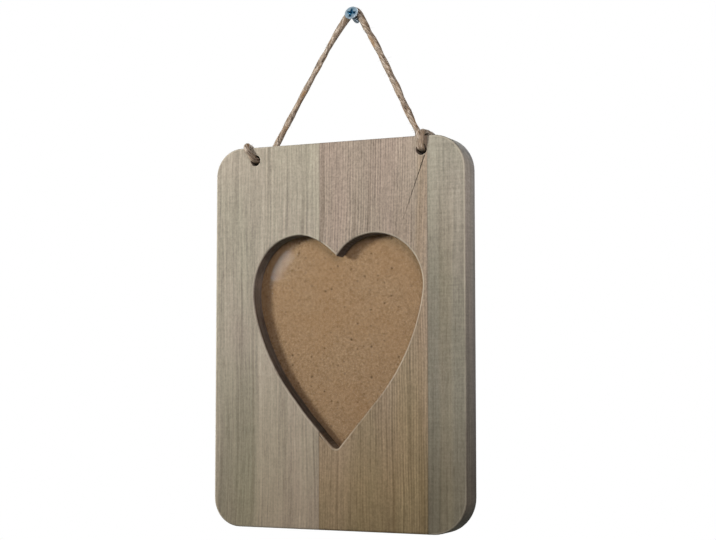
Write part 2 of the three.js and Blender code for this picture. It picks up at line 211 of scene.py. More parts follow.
def wood(name, tone, shade, tints, lines, weights, shift):
    """Sawn pine under a stain. tone is its lighter colour and shade its darker one.

    Each tint is an upright band: (middle, half width, start, full, colour). Its colour multiplies what is
    there, not at all at the height start and in full at the height full, both counted from the board's
    middle; some tints make the staves lighter towards the top and darker towards the bottom. lines is the
    spacing of the year rings and shift moves the grain, both in millimetres. weights are the shares of long
    streaks, short streaks, year rings, broad bands, fuzz and saw marks.
    """
    m = Material(name)
    point = m.stretch(m.place.outputs["Object"], TO_MM)
    axes = m.node("SeparateXYZ", {0: point})
    height = m.math("SUBTRACT", axes.outputs["Z"], CENTRE_Z)
    moved = m.stretch(point, (1, 1, 1), shift)

    # Grain
    sway = m.math("MULTIPLY", m.noise(moved, (0.02, 0.02, 0.009), 2), SWAY)
    across = m.math("ADD", axes.outputs["X"], sway)
    flow = m.node("CombineXYZ", {"X": across, "Y": axes.outputs["Y"], "Z": axes.outputs["Z"]}).outputs[0]
    flow = m.stretch(flow, (1, 1, 1), shift)
    cloud = m.noise(moved, (0.05, 0.05, 0.014), 2)
    waver = m.math("MULTIPLY", m.noise(flow, (0.12, 0.12, 0.02), 2), 2.4)
    ring = m.math("SINE", m.math("MULTIPLY", m.math("ADD", across, waver), 2 * math.pi / lines))
    ring = m.math("ADD", m.math("MULTIPLY", ring, m.span(cloud, 0.36, 0.58)), 1.0)
    long_streak = m.noise(flow, (0.85, 0.85, 0.012), 2, 0.6)
    short_streak = m.noise(flow, (1.0, 1.0, 0.09), 2, 0.6)
    features = (
        m.span(long_streak, 0.3, 0.7),
        m.span(short_streak, 0.3, 0.7),
        m.math("MULTIPLY", ring, 0.5),
        m.span(m.noise(flow, (0.15, 0.15, 0.005), 2, 0.6), 0.32, 0.68),
        m.span(m.noise(flow, (1.1, 1.1, 0.8), 2, 0.6), 0.3, 0.7),
        m.span(m.noise(flow, (0.06, 0.06, 0.9), 2, 0.6), 0.3, 0.7),
    )
    grain = 0.5 - sum(weights) / 2
    for feature, weight in zip(features, weights):
        grain = m.math("ADD", m.math("MULTIPLY", feature, weight), grain)
    calm = m.span(height, 50, -60, 1.0, 0.82)
    grain = m.math("ADD", m.math("MULTIPLY", m.math("SUBTRACT", grain, 0.5), calm), 0.5)
    colour = m.node("Mix", {0: grain, 6: tone, 7: shade}, data_type="RGBA", clamp_factor=False).outputs[2]

    # Dark lines, warm patches, tints and glue lines
    dash = m.noise(flow, (0.7, 0.7, 0.08), 1)
    colour = m.mix(m.span(dash, 0.66, 0.8, 0.0, 0.25), colour, shade, "MULTIPLY")
    dark_line = m.noise(flow, (0.45, 0.45, 0.008), 1)
    colour = m.mix(m.span(dark_line, 0.6, 0.76, 0.0, 0.3), colour, shade, "MULTIPLY")
    warm = m.span(m.noise(flow, (0.06, 0.06, 0.016), 2), 0.35, 0.65)
    colour = m.mix(1.0, colour, m.mix(warm, (0.985, 1.0, 0.975, 1), (1.01, 0.99, 0.99, 1)), "MULTIPLY")
    for middle, half, start, full, tint in tints:
        away = m.math("ABSOLUTE", m.math("SUBTRACT", across, middle + SWAY / 2))
        share = m.math("MULTIPLY", m.span(away, half, half * 0.5), m.span(height, start, full))
        colour = m.mix(share, colour, (*tint, 1), "MULTIPLY")
    for seam in SEAMS:
        away = m.math("ABSOLUTE", m.math("SUBTRACT", axes.outputs["X"], seam))
        colour = m.mix(m.span(away, 0.1, 0.5, 0.4, 0.0), colour, (0.45, 0.42, 0.4, 1), "MULTIPLY")

    # Side faces, end grain and underside, with painted shade on the backs of the sides, the end grain and the
    # underside
    facing = m.node("SeparateXYZ", {0: m.place.outputs["Normal"]})
    side = m.span(m.math("ABSOLUTE", facing.outputs["X"]), 0.4, 0.85)
    colour = m.mix(side, colour, (1.0, 0.95, 1.02, 1), "MULTIPLY")
    # painted shade: the side faces darker and bluer towards the back
    painted_side_shade = m.math("MULTIPLY", side, m.span(axes.outputs["Y"], FRONT_Y + 6, FRONT_Y + 14))
    colour = m.mix(painted_side_shade, colour, (0.8, 0.86, 0.95, 1), "MULTIPLY")
    # end grain darker from the stain it soaks up, with painted shade on faces that look up or down
    behind_arris = m.span(facing.outputs["Y"], -0.6, -0.15)
    up_or_down = m.span(m.math("ABSOLUTE", facing.outputs["Z"]), 0.12, 0.6)
    end_grain_and_shade = m.math("MULTIPLY", up_or_down, behind_arris)
    colour = m.mix(end_grain_and_shade, colour, (0.66, 0.7, 0.73, 1), "MULTIPLY")
    # painted shade: faces that look down are darker
    painted_underside_shade = m.span(facing.outputs["Z"], -0.15, -0.75)
    colour = m.mix(painted_underside_shade, colour, (0.6, 0.6, 0.58, 1), "MULTIPLY")

    # Rubbed front edges with painted highlight, and painted shade on the wall of the heart
    wear_and_highlight = m.node("Attribute", attribute_name="wear_and_highlight").outputs["Fac"]
    patches = m.span(m.noise(point, (0.09, 0.09, 0.03), 4), 0.35, 0.65, 0.2, 0.75)
    # pale rubbed wood on the front edges, partly painted highlight where the rounded edges catch the light,
    # weaker towards the bottom
    rub_and_highlight = m.math("MULTIPLY", wear_and_highlight, patches)
    rub_and_highlight = m.math("MULTIPLY", rub_and_highlight, m.span(height, 0, -100, 1.0, 0.6))
    colour = m.mix(rub_and_highlight, colour, srgb(196, 188, 168))
    # painted shade of the recess on the heart's cut wall, weaker higher up, streaked along its router marks
    painted_wall_shade = m.node("Attribute", attribute_name="painted_wall_shade").outputs["Fac"]
    cutter_mark = m.span(m.noise(point, (0.03, 0.7, 0.03), 2), 0.35, 0.62, 0.54, 0.8)
    painted_wall_shade = m.math("MULTIPLY", painted_wall_shade, m.span(height, 0, 28, 1.0, 0.6))
    colour = m.mix(m.math("MULTIPLY", painted_wall_shade, cutter_mark), colour, srgb(58, 47, 38))

    m.set(Base_Color=colour, Specular_IOR_Level=0.05)
    m.set(Roughness=m.span(grain, 0.1, 1.0, 0.68, 0.86))
    m.bump(m.math("ADD", long_streak, short_streak), 0.25, -0.1)
    return m.material


def fibreboard():
    """Plain brown board: fine felted fibres with scattered dark specks."""
    m = Material("Fibreboard")
    point = m.stretch(m.place.outputs["Object"], TO_MM)
    felt = m.noise(point, (0.88, 0.88, 0.88), 3, 0.75)
    cloud = m.noise(point, (0.05, 0.05, 0.05), 2)
    fleck = m.noise(point, (1.3, 0.6, 0.9), 2)
    axes = m.node("SeparateXYZ", {0: point})
    face = m.node("CombineXYZ", {"X": axes.outputs["X"], "Y": axes.outputs["Z"]}).outputs[0]
    cells = m.node("TexVoronoi", {"Vector": face, "Scale": 0.25}, voronoi_dimensions="2D")
    draws = m.node("SeparateColor", {0: cells.outputs["Color"]}).outputs
    reach = m.span(draws["Red"], 0.6, 1.0, 0.0, 0.2)
    speck = m.span(m.math("SUBTRACT", reach, cells.outputs["Distance"]), 0.0, 0.05)
    speck = m.math("MULTIPLY", speck, m.span(draws["Green"], 0.0, 1.0, 0.3, 0.8))
    colour = m.mix(m.span(felt, 0.3, 0.7), srgb(119, 95, 68), srgb(163, 137, 106))
    colour = m.mix(m.span(cloud, 0.35, 0.65, 0.0, 0.3), colour, srgb(143, 111, 76))
    colour = m.mix(m.span(fleck, 0.6, 0.72, 0.0, 0.3), colour, srgb(172, 146, 114))
    colour = m.mix(speck, colour, srgb(66, 48, 34))
    m.set(Base_Color=colour, Specular_IOR_Level=0.03)
    m.set(Roughness=m.span(felt, 0.3, 0.7, 0.7, 0.88))
    m.bump(felt, 0.12, 0.1)
    return m.material


def glass():
    """Clear picture glass. Light reaches what is behind it through the transparent shader."""
    m = Material("Picture glass")
    m.set(Base_Color=(0.98, 0.99, 0.98, 1), Roughness=0.07, IOR=1.12, Transmission_Weight=1.0)
    clear = m.node("BsdfTransparent")
    path = m.node("LightPath")
    lamp = m.math("MAXIMUM", path.outputs["Is Shadow Ray"], path.outputs["Is Diffuse Ray"])
    both = m.node("MixShader", {0: lamp, 1: m.shader.outputs[0], 2: clear.outputs[0]})
    output = m.tree.nodes["Material Output"]
    m.tree.links.new(both.outputs[0], output.inputs["Surface"])
    return m.material


def zinc(name, tone, roughness):
    """Zinc plating: cool metal with faint clouds and scratches, a bluish recess and a darkened thread.
    The recess is darker partly by painted shade, and the thread's darkening is painted shade.
    """
    m = Material(name)
    point = m.stretch(m.place.outputs["Object"], TO_MM)
    cloud = m.noise(point, (0.5, 0.5, 0.5), 3)
    scratch = m.noise(point, (9.0, 9.0, 0.6), 3, 0.6)
    dull = srgb(*(0.72 * c for c in tone))
    colour = m.mix(m.span(cloud, 0.35, 0.65, 0.0, 0.6), srgb(*tone), dull)
    recess = m.node("Attribute", attribute_name="recess").outputs["Fac"]
    # bluer in the recess and round it, and darker in the cross: blue plating with painted shade
    colour = m.mix(recess, colour, srgb(76, 132, 158))
    painted_thread_shade = m.node("Attribute", attribute_name="painted_thread_shade").outputs["Fac"]
    # painted shade on the thread
    colour = m.mix(painted_thread_shade, colour, srgb(40, 48, 52))
    m.set(Base_Color=colour, Metallic=1.0)
    smear = m.span(scratch, 0.3, 0.7, roughness - 0.08, roughness + 0.1)
    m.set(Roughness=m.math("ADD", smear, m.span(cloud, 0.4, 0.7, 0, 0.06)))
    m.bump(scratch, 0.1, 0.02)
    return m.material


def jute(name, pale):
    """Jute: long fibres along each strand, grey to golden brown, with dark gaps and pale flecks.
    The dark gaps are partly painted shade and the pale flecks partly painted highlight.
    """
    m = Material(name)
    strand = m.node("Attribute", attribute_name="strand").outputs["Vector"]
    fibre = m.noise(strand, (1.6, 1.6, 0.16), 3, 0.7)
    tint = m.noise(strand, (0.3, 0.3, 0.09), 2)
    hair = m.noise(strand, (2.2, 2.2, 0.25), 2)
    # fibre colours from dark, partly painted shade in the gaps, to pale
    colour = m.mix(m.span(fibre, 0.37, 0.61), srgb(61, 49, 40), srgb(179, 164, 145))
    colour = m.mix(m.span(tint, 0.4, 0.64, 0.0, 0.6), colour, srgb(142, 120, 96))
    gold = m.noise(strand, (0.35, 0.35, 0.06), 2)
    colour = m.mix(m.span(gold, 0.56, 0.68, 0.0, 0.6), colour, srgb(150, 112, 66))
    # pale flecks, partly painted highlight
    colour = m.mix(m.span(hair, 0.55, 0.65, 0.0, 0.85), colour, srgb(*pale))
    m.set(Base_Color=colour, Specular_IOR_Level=0.25)
    m.set(Roughness=m.span(fibre, 0.3, 0.7, 0.95, 0.75))
    m.bump(m.math("ADD", fibre, hair), 0.7, 0.3)
    return m.material


# Mesh building


def loft(rings):
    """A closed body through rings with as many points each."""
    bm = bmesh.new()
    rows = [[bm.verts.new(point) for point in ring] for ring in rings]
    count = len(rows[0])
    for low, high in zip(rows, rows[1:]):
        for i in range(count):
            j = (i + 1) % count
            bm.faces.new((low[i], low[j], high[j], high[i]))
    bm.faces.new(rows[0][::-1])
    bm.faces.new(rows[-1])
    bmesh.ops.recalc_face_normals(bm, faces=bm.faces[:])
    return bm


def block(low, high):
    """A box between two corners, in metres."""
    bm = bmesh.new()
    bmesh.ops.create_cube(bm, size=1)
    for vert in bm.verts:
        vert.co = Vector([(a + b) / 2 + (b - a) * c for a, b, c in zip(low, high, vert.co)])
    return bm


def stand_in(bm):
    """An object to cut or to cut with."""
    mesh = bpy.data.meshes.new("work")
    bm.to_mesh(mesh)
    bm.free()
    made = bpy.data.objects.new("work", mesh)
    bpy.context.scene.collection.objects.link(made)
    return made


def discard(obj):
    """Removes an object and its mesh."""
    mesh = obj.data
    bpy.data.objects.remove(obj)
    bpy.data.meshes.remove(mesh)


def combine(base, tool, operation):
    """base's mesh after a boolean with tool, which is used up."""
    cut = base.modifiers.new("cut", "BOOLEAN")
    cut.operation = operation
    cut.object = tool
    cut.solver = "EXACT"
    bpy.context.view_layer.update()
    graph = bpy.context.evaluated_depsgraph_get()
    result = bpy.data.meshes.new_from_object(base.evaluated_get(graph))
    base.modifiers.clear()
    old = base.data
    base.data = result
    bpy.data.meshes.remove(old)
    discard(tool)


def finish_mesh(mesh, sharp_degrees=35):
    """Smooth shading with creases where faces meet at more than this angle."""
    mesh.polygons.foreach_set("use_smooth", [True] * len(mesh.polygons))
    mesh.set_sharp_from_angle(angle=math.radians(sharp_degrees))
    mesh.update()


def piece(name, mesh, material, body, slot, *nodes):
    """A visible piece that moves with a body and stands for these CAD nodes."""
    mesh.name = name
    mesh.materials.clear()
    mesh.materials.append(material)
    made = bpy.data.objects.new(name, mesh)
    bpy.context.scene.collection.objects.link(made)
    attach(made, body)
    if nodes:
        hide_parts(*nodes)
    return made


def mesh_of(bm):
    """A mesh from bm, which is used up."""
    mesh = bpy.data.meshes.new("piece")
    bm.to_mesh(mesh)
    bm.free()
    return mesh


def even_normals(obj):
    """Keeps the shading of large flat faces even up to their rounded edges."""
    weigh = obj.modifiers.new("even normals", "WEIGHTED_NORMAL")
    weigh.keep_sharp = True


# Outlines


def arc(x, z, radius, start, end, steps):
    """Points round a centre from one angle to another, both included."""
    turn = [start + (end - start) * i / steps for i in range(steps + 1)]
    return [(x + radius * math.cos(a), z + radius * math.sin(a)) for a in turn]


def rounded_rectangle(width, height, left, right):
    """A rectangle whose corners are rounded to one radius on the left and another on the right."""
    quarter = math.pi / 2
    corners = ((1, 1, right), (-1, 1, left), (-1, -1, left), (1, -1, right))
    points = []
    for i, (across, up, radius) in enumerate(corners):
        x = across * (width / 2 - radius)
        z = up * (height / 2 - radius)
        points += arc(x, z, radius, i * quarter, (i + 1) * quarter, CORNER_STEPS)
    return points


def straight(start, end, steps):
    """The points that divide the line from start to end into steps, without both."""
    shares = [i / steps for i in range(1, steps)]
    return [(start[0] + (end[0] - start[0]) * t, start[1] + (end[1] - start[1]) * t) for t in shares]


def bulge(x, z):
    """How much further out the heart's left flank is cut than its right one."""
    flank = FLANK_OUT * ease(clamp((FLANK_TOP - z) / FLANK_BLEND)) + HUMP_OUT * hump(z, HUMP_Z, HUMP_REACH)
    return flank * min(1.0, x / TIP_BLEND)


def raised(x):
    """How far up the heart's upper edge is cut at x, blended between the values of TOP_SHIFT."""
    for (low, start), (high, end) in zip(TOP_SHIFT, TOP_SHIFT[1:]):
        if low <= x <= high:
            return start + (end - start) * ease((x - low) / (high - low))
    return 0.0


def heart(grow):
    """The heart's outline, grown outwards, from the cleft round to the cleft."""
    lobe = LOBE_RADIUS + grow
    side = SIDE_RADIUS + grow
    tip = TIP_RADIUS + grow
    side_x = LOBE_OFFSET - (side - lobe) * math.cos(SIDE_START)
    side_z = LOBE_HEIGHT + (side - lobe) * math.sin(SIDE_START)
    end_x = side_x + side * math.cos(SIDE_END)
    end_z = side_z - side * math.sin(SIDE_END)
    tip_z = end_z + (tip - end_x * math.cos(SIDE_END)) / math.sin(SIDE_END)
    cleft = math.pi - math.acos(LOBE_OFFSET / lobe)
    half = arc(LOBE_OFFSET, LOBE_HEIGHT, lobe, cleft, -SIDE_START, LOBE_STEPS)
    half += arc(side_x, side_z, side, -SIDE_START, -SIDE_END, SIDE_STEPS)[1:]
    tip_arc = arc(0, tip_z, tip, -SIDE_END, -math.pi / 2, TIP_STEPS)
    half += straight(half[-1], tip_arc[0], TIP_STEPS) + tip_arc
    outline = half + [(-x - bulge(x, z), z) for x, z in half[-2:0:-1]]
    return [(x, z + raised(x) if z > LOBE_HEIGHT else z) for x, z in outline]


def rounding(radius, steps):
    """(outwards, inwards) steps of an edge rounded to a radius, from its face to its wall."""
    turn = [math.pi / 2 * i / steps for i in range(steps + 1)]
    return [(radius * (1 - math.sin(a)), radius * (1 - math.cos(a))) for a in turn]


# The three staves


def board():
    """The glued board with the heart, the rebate and the twine holes cut out."""
    edge = rounding(ARRIS, EDGE_STEPS)
    profile = edge + [(inset, THICKNESS - depth) for inset, depth in reversed(edge)]
    rings = []
    for inset, depth in profile:
        radii = (LEFT_CORNER_RADIUS - inset, RIGHT_CORNER_RADIUS - inset)
        outline = rounded_rectangle(WIDTH - 2 * inset, HEIGHT - 2 * inset, *radii)
        rings.append([on_board(x, depth, z) for x, z in outline])
    made = stand_in(loft(rings))
    rings = [[on_board(x, -OVERCUT, z) for x, z in heart(HEART_ROUNDING)]]
    for grow, depth in rounding(HEART_ROUNDING, EDGE_STEPS):
        rings.append([on_board(x, depth, z) for x, z in heart(grow)])
    rings.append([on_board(x, THICKNESS + OVERCUT, z) for x, z in heart(0)])
    combine(made, stand_in(loft(rings)), "DIFFERENCE")
    low = on_board(-REBATE_WIDTH / 2, LIP, -REBATE_HEIGHT / 2)
    high = on_board(REBATE_WIDTH / 2, THICKNESS + OVERCUT, REBATE_HEIGHT / 2)
    combine(made, stand_in(block(low, high)), "DIFFERENCE")
    mouth = rounding(HOLE_ROUNDING, HOLE_EDGE_STEPS)
    profile = [(HOLE_ROUNDING, -OVERCUT)] + mouth
    profile += [(grow, THICKNESS - depth) for grow, depth in reversed(mouth)]
    profile.append((HOLE_ROUNDING, THICKNESS + OVERCUT))
    for side in (-1, 1):
        rings = []
        for grow, depth in profile:
            circle = arc(side * HOLE_X, HOLE_Z, HOLE_RADIUS + grow, 0, 2 * math.pi, HOLE_STEPS)[:-1]
            rings.append([on_board(x, depth, z) for x, z in circle])
        combine(made, stand_in(loft(rings)), "DIFFERENCE")
    return made


def mark_wear_and_painted_light(mesh):
    """Marks the rub and painted highlight on the front edges, and the painted shade on the heart's wall."""
    bm = bmesh.new()
    bm.from_mesh(mesh)
    wear_and_highlight_layer = bm.verts.layers.float.new("wear_and_highlight")
    painted_wall_shade_layer = bm.verts.layers.float.new("painted_wall_shade")
    front = FRONT_Y * MM
    facing = [f for f in bm.faces if f.normal.y < -0.95]
    flat = [f for f in facing if abs(f.calc_center_median().y - front) < 0.05 * MM]
    # Known fault: the inset also takes in the first strip of each rounding and folds over itself there and
    # beside the right twine hole, where the fold shows as a thin dark line on the middle stave
    band = RUB_AND_HIGHLIGHT_BAND * MM
    bmesh.ops.inset_region(bm, faces=flat, thickness=band, use_even_offset=True, use_boundary=True)
    inner = {v for f in flat for v in f.verts}
    for vert in bm.verts:
        x, y, z = vert.co / MM
        depth = y - FRONT_Y
        on_seam = any(abs(x - seam) < GLUE_LINE for seam in SEAMS)
        in_heart = abs(x) < HEART_HALF_WIDTH and abs(z - CENTRE_Z) < HEART_HALF_HEIGHT
        # rub and painted highlight: strongest at the front face, fading backwards, weaker round the heart
        if vert not in inner and not on_seam:
            vert[wear_and_highlight_layer] = max(0.0, 1 - depth / RUB_AND_HIGHLIGHT_DEPTH) * (HEART_RUB_AND_HIGHLIGHT if in_heart else 1.0)
        # painted shade on the heart's wall behind its rounding, less at the back of the wall under the
        # overhang
        if in_heart and HEART_ROUNDING * 0.95 < depth < LIP + 0.01:
            overhang = clamp((z - CENTRE_Z - OVERHANG_START) / OVERHANG_BLEND)
            vert[painted_wall_shade_layer] = 1 - OVERHANG_FADE * overhang * (depth > LIP / 2)
    bm.to_mesh(mesh)
    bm.free()


def make_staves():
    whole = board()
    ends = (-WIDTH / 2 - OVERCUT,) + SEAMS + (WIDTH / 2 + OVERCUT,)
    looks = (
        ("stave_left", "wood_grey", GREY_WOOD),
        ("stave_middle", "wood_pinkish", PINKISH_WOOD),
        ("stave_right", "wood_greenish", GREENISH_WOOD),
    )
    for (node, slot, material), low, high in zip(looks, ends, ends[1:]):
        stave = bpy.data.objects.new("work", whole.data.copy())
        bpy.context.scene.collection.objects.link(stave)
        corner = on_board(low + GLUE_LINE / 2, -OVERCUT, -HEIGHT / 2 - OVERCUT)
        other = on_board(high - GLUE_LINE / 2, THICKNESS + OVERCUT, HEIGHT / 2 + OVERCUT)
        combine(stave, stand_in(block(corner, other)), "INTERSECT")
        mesh = stave.data
        bpy.data.objects.remove(stave)
        mark_wear_and_painted_light(mesh)
        finish_mesh(mesh)
        even_normals(piece(node + "_wood", mesh, material, "frame", slot, node))
    discard(whole)


# Glass, backing board, screws and turn buttons

SCREW_SIDES = 36
RINGS_PER_TURN = 10
RISING_RINGS = 8  # over which the thread rises from the shank
CREST_FOOT = 0.28  # share of the pitch from a crest to its foot

# Each screw has a head of (radius, y) rings, a thread of (start, end, pitch, depth) and a recess of
# (span, width, depth)
HANGING_FACE = -7.5  # y of the head's face, from which HANGING_HEAD counts
HANGING_HEAD = [
    (0.05, 0), (2.9, 0), (3.7, 0.03), (3.95, 0.18), (4.0, 0.4),
    (3.93, 0.66), (2.8, 1.8), (2.0, 2.6), (1.62, 3.2), (1.5, 3.6),
]
HANGING_SHANK = 1.8
HANGING_THREAD = (HANGING_FACE + 3.6, HANGING_FACE + 11, 1.35, 0.5)
HANGING_RECESS = (5.6, 1.6, 1.7)
HANGING_TILT = math.radians(20)
HANGING_TURN = math.radians(8)
BUTTON_SCREW_HEAD = [
    (0.05, -1.7), (1.2, -1.66), (2.0, -1.42), (2.6, -1.0), (2.92, -0.5),
    (3.0, -0.12), (2.95, 0.0), (1.45, 0.0), (1.4, 0.3),
]
BUTTON_SCREW_SHANK = 1.45
BUTTON_SCREW_THREAD = (0.3, 10, 1.1, 0.35)
BUTTON_SCREW_RECESS = (3.6, 0.9, 1.1)
BUTTON_EDGE = ((0.18, 0), (0.05, 0.05), (0, 0.18), (0, 0.78), (0.08, 0.93), (0.26, 1.0))  # (inset, depth)


def bevelled(bm, width):
    bmesh.ops.bevel(bm, geom=bm.edges[:], offset=width * MM, segments=2, affect="EDGES", profile=0.6)
    return bm


def make_panes():
    for node, name, material, slot, edge in (
        ("glazing_pane", "glazing_sheet", GLASS, "glass", 0.15),
        ("backing_board", "backing_sheet", FIBREBOARD, "hardboard", 0.35),
    ):
        low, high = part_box(node)
        mesh = mesh_of(bevelled(block(low, high), edge))
        finish_mesh(mesh)
        even_normals(piece(name, mesh, material, "frame", slot, node))


def cross_cutter(span, width, depth):
    """A tapered cross for a screw's recess, its mouth in the plane y = 0 and its depth towards +Y."""
    half = span / 2
    arm = width / 2
    outline = []
    for i in range(4):
        c, s = math.cos(i * math.pi / 2), math.sin(i * math.pi / 2)
        for x, z in ((half, -arm), (half, arm), (arm, arm)):
            outline.append((c * x - s * z, s * x + c * z))
    rings = []
    for y, scale in ((-0.5, 1.06), (0, 1.0), (depth * 0.7, 0.72), (depth, 0.35)):
        rings.append([Vector((x * scale, y, z * scale)) for x, z in outline])
    return loft(rings)


def screw_body(head, shank, start, end, pitch, depth):
    """A screw along +Y in millimetres: its head, from the face's middle to the shank, and then its thread."""
    rows = [[Vector((r * math.cos(a), y, r * math.sin(a))) for a in turns(SCREW_SIDES)] for r, y in head]
    count = int((end - start) / pitch * RINGS_PER_TURN)
    for i in range(1, count + 1):
        y = start + (end - start) * i / count
        taper = min(1.0, (end - y) / (1.4 * shank) + 0.06)
        ring = []
        for a in turns(SCREW_SIDES):
            phase = (y / pitch - a / (2 * math.pi)) % 1.0
            crest = max(0.0, 1 - abs(phase - 0.5) / CREST_FOOT)
            r = (shank - depth + depth * crest * min(1.0, i / RISING_RINGS)) * taper
            ring.append(Vector((r * math.cos(a), y, r * math.sin(a))))
        rows.append(ring)
    return loft(rows)


def turns(count):
    """Angles that divide a full turn."""
    return [2 * math.pi * i / count for i in range(count)]


def placed(mesh, matrix):
    """A mesh drawn in millimetres, put in its place in the frame, in metres."""
    mesh.transform(Matrix.Scale(MM, 4) @ matrix)
    return mesh


def make_screw(name, node, body, head, shank, thread, recess, matrix, material):
    """A cross-head screw in place of a CAD node, marked for its recess and for painted shade on its thread.
    """
    made = stand_in(screw_body(head, shank, *thread))
    cutter = cross_cutter(*recess)
    face = head[0][1]
    for vert in cutter.verts:
        vert.co.y += face
    combine(made, stand_in(cutter), "DIFFERENCE")
    mesh = made.data
    bpy.data.objects.remove(made)
    span, _, recess_depth = recess
    hollow = mesh.attributes.new("recess", "FLOAT", "POINT")
    painted_thread_shade = mesh.attributes.new("painted_thread_shade", "FLOAT", "POINT")
    for i, vert in enumerate(mesh.vertices):
        deep = vert.co.y - face
        radius = math.hypot(vert.co.x, vert.co.z)
        if 0.1 < deep < recess_depth + 0.1 and radius < span * 0.4:
            hollow.data[i].value = 1.0
        elif deep < 0.1 and radius < span * 0.55:
            hollow.data[i].value = 0.35
        elif vert.co.y > thread[0]:
            # painted shade on the thread, full in its roots and faint on its crests
            painted_thread_shade.data[i].value = 0.85 if radius < shank - 0.2 else 0.1
    finish_mesh(mesh, 40)
    piece(name, placed(mesh, matrix), material, body, "zinc_steel", node)


def make_hanging_screw():
    head = [(radius, HANGING_FACE + y) for radius, y in HANGING_HEAD]
    shape = (head, HANGING_SHANK, HANGING_THREAD, HANGING_RECESS)
    matrix = Matrix.Rotation(-HANGING_TILT, 4, "X") @ Matrix.Rotation(HANGING_TURN, 4, "Y")
    make_screw("hanging_screw_zinc", "hanging_screw", "wall_screw", *shape, matrix, BRIGHT_ZINC)


def box_of(node):
    """A node's box in millimetres: its low corner, its high corner and its middle."""
    low, high = (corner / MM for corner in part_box(node))
    return low, high, [(a + b) / 2 for a, b in zip(low, high)]


def make_button(i):
    """A turn button with rounded ends and softened edges."""
    node = f"turn_button_{i}"
    low, high, (mid_x, _, mid_z) = box_of(node)
    radius = (high.x - low.x) / 2
    reach = (high.z - low.z) / 2
    outline = arc(mid_x, high.z - radius, radius, 0, math.pi, BUTTON_STEPS)
    outline += arc(mid_x, low.z + radius, radius, math.pi, 2 * math.pi, BUTTON_STEPS)
    rings = []
    for inset, depth in BUTTON_EDGE:
        wide = 1 - inset / radius
        long = 1 - inset / reach
        y = low.y + depth
        ring = [(mid_x + (x - mid_x) * wide, y, mid_z + (z - mid_z) * long) for x, z in outline]
        rings.append(in_metres(ring))
    mesh = mesh_of(loft(rings))
    finish_mesh(mesh)
    even_normals(piece(node + "_plate", mesh, DULL_ZINC, f"button_{i}", "zinc_steel", node))


def make_button_screw(i):
    node = f"button_screw_{i}"
    _, high, (mid_x, _, mid_z) = box_of(node)
    shape = (BUTTON_SCREW_HEAD, BUTTON_SCREW_SHANK, BUTTON_SCREW_THREAD, BUTTON_SCREW_RECESS)
    face = BUTTON_SCREW_HEAD[0][1]
    matrix = Matrix.Translation((mid_x, high.y + face, mid_z)) @ Matrix.Rotation(math.pi, 4, "Z")
    make_screw(node + "_zinc", node, "frame", *shape, matrix, DULL_ZINC)


# Twine, its path in millimetres from the tail behind the left hole to the one behind the right hole

TWINE_DIAMETER = 3.5
TWINE_PITCH = 34.0
TWINE_SIDES = 12
STRAND_SHARE = 0.41  # a strand's radius as a share of the twine's diameter
CURVE_STEPS = 24
KNOT_SIZE = 1.1
KNOT_DIAMETER = 2.9
KNOT_PITCH = 9.0
FIBRES = 620
FIBRE_SEED = 6
FIBRE_PLACES = (0, 0.35, 0.7, 1.0)
FIBRE_RADII = (0.045, 0.04, 0.03, 0.012)
LEFT_TAIL = [(-46.6, -8.6, -91.5), (-46.2, -7.55, -85.5), (-47.4, -6.65, -80.5), (-50.4, -6.8, -77)]
LEFT_HITCH = [
    (-53, -7.1, -76.75), (-55.5, -7.1, -76), (-59, -7.7, -74.65), (-60.6, -9.5, -72.2),
    (-60.2, -12.65, -71.3), (-58, -18.95, -71.3), (-55.8, -24.8, -71.7), (-55.1, -27.05, -72.4),
    (-54.2, -28.25, -74.4), (-52.3, -28.25, -77), (-51.2, -27.4, -79), (-50.8, -24.95, -79.8),
    (-50.6, -18.5, -79.8), (-50.2, -12.05, -80.2), (-50, -9.35, -79.6), (-49.8, -8.3, -76.9),
    (-48.2, -8.45, -73.2),
]
RUN = [
    (-45.8, -8.45, -69.2), (-38.65, -7.4, -56.3), (-31.45, -6.4, -43.45), (-24.05, -5.35, -30.6),
    (-16.65, -4.35, -17.75), (-8.7, -3.3, -5.1), (-4.45, -2.3, 1.15), (-2.75, -2, 3.95),
    (0, -1.9, 5.04), (2.5, -2, 3.55), (4.12, -2.6, 0.65), (9.2, -5.4, -7.4),
    (17.2, -9.15, -19.55), (24.55, -12.85, -31.7), (31.85, -16.6, -43.9), (38.8, -20.3, -56.05),
    (46.1, -24.05, -68.2),
]
RIGHT_HITCH = [
    (47.6, -24.8, -70.4), (48.7, -27.1, -71.8), (49, -27.8, -74), (49.2, -27.7, -76.8),
    (49.3, -26.9, -79.1), (49.2, -24.5, -79.7), (49.2, -18.5, -79.7), (49.2, -12.5, -80.2),
    (49.2, -9.65, -79.6), (49.4, -8.3, -77), (50, -8.15, -74), (50.3, -9.2, -71.7),
    (50.5, -12.05, -71.15), (50.8, -17, -71.1), (51.1, -22.5, -71.15), (51.2, -26.4, -71.4),
    (51.2, -28.2, -73.3), (51, -28.1, -76.4), (50.8, -27.2, -79), (50.8, -24.5, -79.7),
    (50.8, -18.5, -79.7), (50.8, -12.5, -80.2), (51.3, -8.6, -81.6),
]
RIGHT_TAIL = [(52.3, -6.8, -84.5), (53.5, -7.55, -89.5), (53.9, -8.6, -95)]
LEFT_KNOT = (-50.8, -7.25, -76.8)
RIGHT_KNOT = (51.6, -6.95, -82.4)


def between(a, b, low, high, place):
    """The point at place on a line that is at a for low and at b for high."""
    return a.lerp(b, (place - low) / (high - low))


